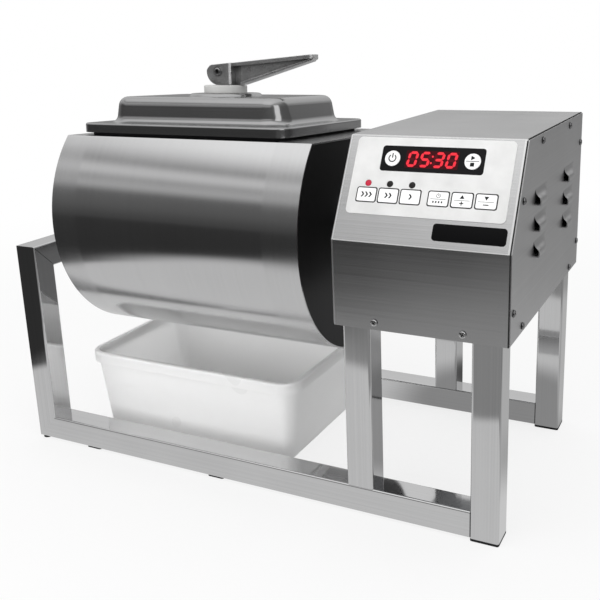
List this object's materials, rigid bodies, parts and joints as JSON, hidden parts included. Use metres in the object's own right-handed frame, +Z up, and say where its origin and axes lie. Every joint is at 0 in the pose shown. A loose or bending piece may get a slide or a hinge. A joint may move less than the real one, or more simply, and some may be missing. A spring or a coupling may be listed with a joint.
{
  "type": "meat vacuum tumbler",
  "caption": "Tabletop meat tumbler: D-section steel drum with a clamped hatch on a square-tube stand, turned by a gearmotor in a sloped-panel control housing, with a catch tub below.",
  "frame": {"origin": "on the floor under the middle of the machine's bounding box", "axes": "+X along the drum axis towards the control housing, +Y to the back, +Z up"},
  "size_m": [0.792, 0.4012, 0.603],
  "materials": {
    "polished_steel": "mirror-polished stainless square tube",
    "brushed_steel": "satin stainless sheet",
    "lid_steel": "pressed stainless sheet",
    "fastener_steel": "bright stainless fasteners",
    "turned_steel": "machined steel",
    "lever_cast": "shot-blasted casting",
    "bearing_iron": "painted cast iron",
    "black_rubber": "matt black rubber",
    "white_nylon": "white nylon",
    "tub_white": "white moulded polyethylene",
    "panel_white": "white membrane panel and keys",
    "window_black": "smoked black window",
    "lamp_red": "tinted indicator lens",
    "board_green": "circuit board",
    "inlet_black": "black moulded plastic",
    "drive_grey": "grey painted gearmotor",
    "supply_metal": "aluminium supply case"
  },
  "bodies": {
    "stand": {"left_front_post": "polished_steel", "left_rear_post": "polished_steel", "left_cross_beam": "polished_steel", "front_rail": "polished_steel", "rear_rail": "polished_steel", "front_inner_leg": "polished_steel", "rear_inner_leg": "polished_steel", "front_right_leg": "polished_steel", "rear_right_leg": "polished_steel", "housing_wrap": "brushed_steel", "right_side_panel": "brushed_steel", "left_side_panel": "brushed_steel", "base_tray": "brushed_steel", "right_panel_screws": "fastener_steel", "left_panel_screws": "fastener_steel", "wrap_screws": "fastener_steel", "pillow_bolts": "fastener_steel", "bearing_inserts": "turned_steel", "bearing_pedestal": "turned_steel", "motor_stand": "turned_steel", "left_pillow_block": "bearing_iron", "right_pillow_block": "bearing_iron", "rail_pads": "black_rubber", "leg_caps": "black_rubber", "control_overlay": "panel_white", "display_window": "window_black", "indicator_lamps": "lamp_red", "control_board": "board_green", "power_inlet": "inlet_black", "terminal_strip": "inlet_black", "gearbox": "drive_grey", "drive_motor": "drive_grey", "power_supply": "supply_metal"},
    "drum": {"drum_shell": "brushed_steel", "drum_hatch_plate": "brushed_steel", "drum_left_disc": "brushed_steel", "drum_right_disc": "brushed_steel", "drum_paddles": "brushed_steel", "stub_shaft": "turned_steel", "drive_shaft": "turned_steel", "hub_bolts": "fastener_steel", "drum_gear": "turned_steel"},
    "pinion": {"motor_pinion": "turned_steel"},
    "lid": {"lid": "lid_steel", "lid_gasket": "black_rubber", "clamp_collar": "white_nylon"},
    "clamp": {"clamp_spindle": "turned_steel", "clamp_bar": "turned_steel", "pivot_pin": "fastener_steel"},
    "lever": {"cam_lever": "lever_cast"},
    "tub": {"catch_tub": "tub_white"},
    "power_key": {"power_key": "panel_white"},
    "start_stop_key": {"start_stop_key": "panel_white"},
    "key_1": {"key_1": "panel_white"},
    "key_2": {"key_2": "panel_white"},
    "key_3": {"key_3": "panel_white"},
    "key_4": {"key_4": "panel_white"},
    "key_5": {"key_5": "panel_white"},
    "key_6": {"key_6": "panel_white"}
  },
  "joints": [
    {"name": "drum_spin", "type": "hinge", "parent": "stand", "child": "drum", "pos_m": [0, 0, 0.363], "axis": [1, 0, 0], "continuous": true},
    {"name": "pinion_spin", "type": "hinge", "parent": "stand", "child": "pinion", "pos_m": [0, 0.09, 0.363], "axis": [1, 0, 0], "continuous": true},
    {"name": "lid_lift", "type": "slide", "parent": "drum", "child": "lid", "axis": [0, 0.0523, 0.9986], "range_m": [0, 0.2]},
    {"name": "clamp_turn", "type": "hinge", "parent": "lid", "child": "clamp", "pos_m": [-0.123, 0.00785, 0.51279], "axis": [0, 0.0523, 0.9986], "range_deg": [0, 90]},
    {"name": "lever_raise", "type": "hinge", "parent": "clamp", "child": "lever", "pos_m": [-0.123, 0.01133, 0.5792], "axis": [0, -0.9986, 0.0523], "range_deg": [0, 85]},
    {"name": "tub_slide", "type": "slide", "parent": "stand", "child": "tub", "axis": [-1, 0, 0], "range_m": [0, 0.45]},
    {"name": "power_key_press", "type": "slide", "parent": "stand", "child": "power_key", "axis": [0, 0.8746, -0.4848], "range_m": [0, 0.0005], "stiffness_N_per_m": 1500, "springref_m": -0.0007},
    {"name": "start_stop_key_press", "type": "slide", "parent": "stand", "child": "start_stop_key", "axis": [0, 0.8746, -0.4848], "range_m": [0, 0.0005], "stiffness_N_per_m": 1500, "springref_m": -0.0007},
    {"name": "key_1_press", "type": "slide", "parent": "stand", "child": "key_1", "axis": [0, 0.8746, -0.4848], "range_m": [0, 0.0005], "stiffness_N_per_m": 1500, "springref_m": -0.0007},
    {"name": "key_2_press", "type": "slide", "parent": "stand", "child": "key_2", "axis": [0, 0.8746, -0.4848], "range_m": [0, 0.0005], "stiffness_N_per_m": 1500, "springref_m": -0.0007},
    {"name": "key_3_press", "type": "slide", "parent": "stand", "child": "key_3", "axis": [0, 0.8746, -0.4848], "range_m": [0, 0.0005], "stiffness_N_per_m": 1500, "springref_m": -0.0007},
    {"name": "key_4_press", "type": "slide", "parent": "stand", "child": "key_4", "axis": [0, 0.8746, -0.4848], "range_m": [0, 0.0005], "stiffness_N_per_m": 1500, "springref_m": -0.0007},
    {"name": "key_5_press", "type": "slide", "parent": "stand", "child": "key_5", "axis": [0, 0.8746, -0.4848], "range_m": [0, 0.0005], "stiffness_N_per_m": 1500, "springref_m": -0.0007},
    {"name": "key_6_press", "type": "slide", "parent": "stand", "child": "key_6", "axis": [0, 0.8746, -0.4848], "range_m": [0, 0.0005], "stiffness_N_per_m": 1500, "springref_m": -0.0007}
  ],
  "couplings": [
    {"joint": "pinion_spin", "follows": "drum_spin", "ratio": -3}
  ]
}
